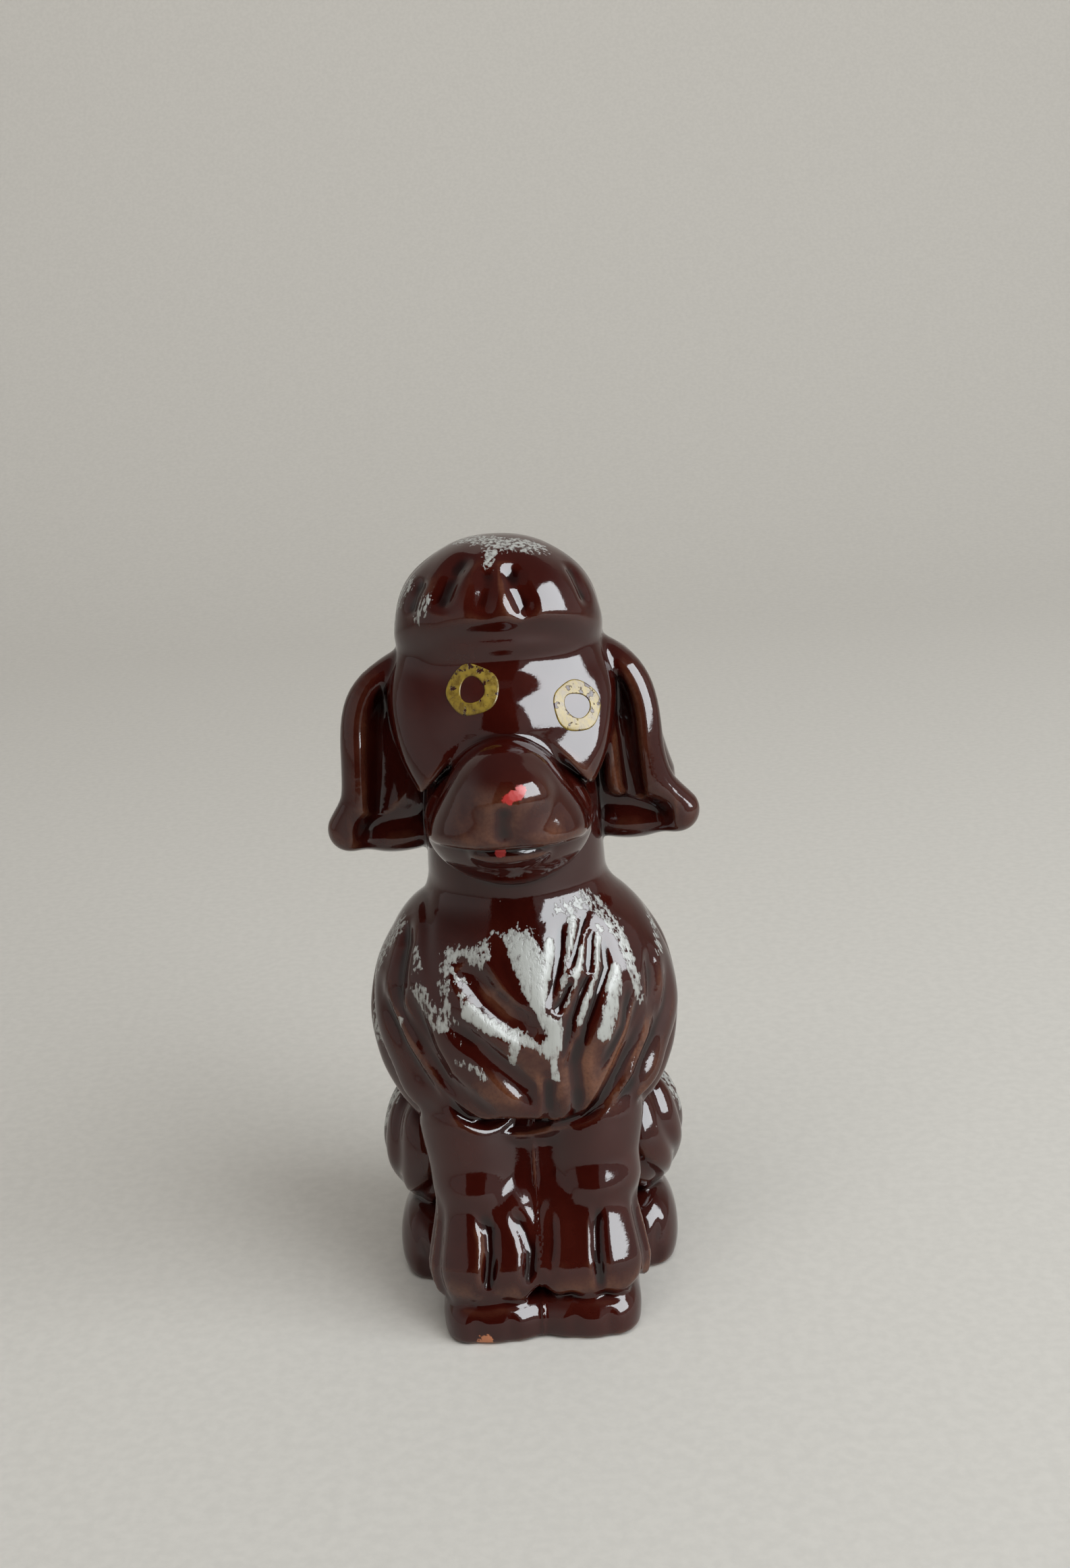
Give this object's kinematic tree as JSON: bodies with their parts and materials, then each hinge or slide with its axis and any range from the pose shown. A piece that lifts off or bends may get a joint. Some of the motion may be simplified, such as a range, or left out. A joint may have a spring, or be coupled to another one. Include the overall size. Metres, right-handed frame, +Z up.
{
  "type": "poodle figurine",
  "caption": "Seated poodle figurine in a lion clip: fluted ruff, topknot, long rolled ears, cuffs over the paws and a pompon tail, under a brown glaze.",
  "frame": {"origin": "on the table under the middle of the figure's bounding box", "axes": "+Z up, the dog faces -Y, its own left side is +X"},
  "size_m": [0.0474, 0.05, 0.099],
  "materials": {
    "glaze": "glossy dark red-brown glaze over red clay, thinner and more orange on the ridges, with worn white cold paint on the topknot, ruff and thighs",
    "eye_enamel": "yellow enamel, brushed on by hand and a little chipped"
  },
  "bodies": {
    "root": {"head": "glaze", "topknot": "glaze", "left_ear": "glaze", "right_ear": "glaze", "ruff": "glaze", "trunk": "glaze", "left_foreleg": "glaze", "right_foreleg": "glaze", "left_cuff": "glaze", "right_cuff": "glaze", "left_front_paw": "glaze", "right_front_paw": "glaze", "left_thigh": "glaze", "right_thigh": "glaze", "left_hind_foot": "glaze", "right_hind_foot": "glaze", "tail": "glaze", "tail_pompon": "glaze", "left_eye_ring": "eye_enamel", "right_eye_ring": "eye_enamel"}
  },
  "joints": []
}
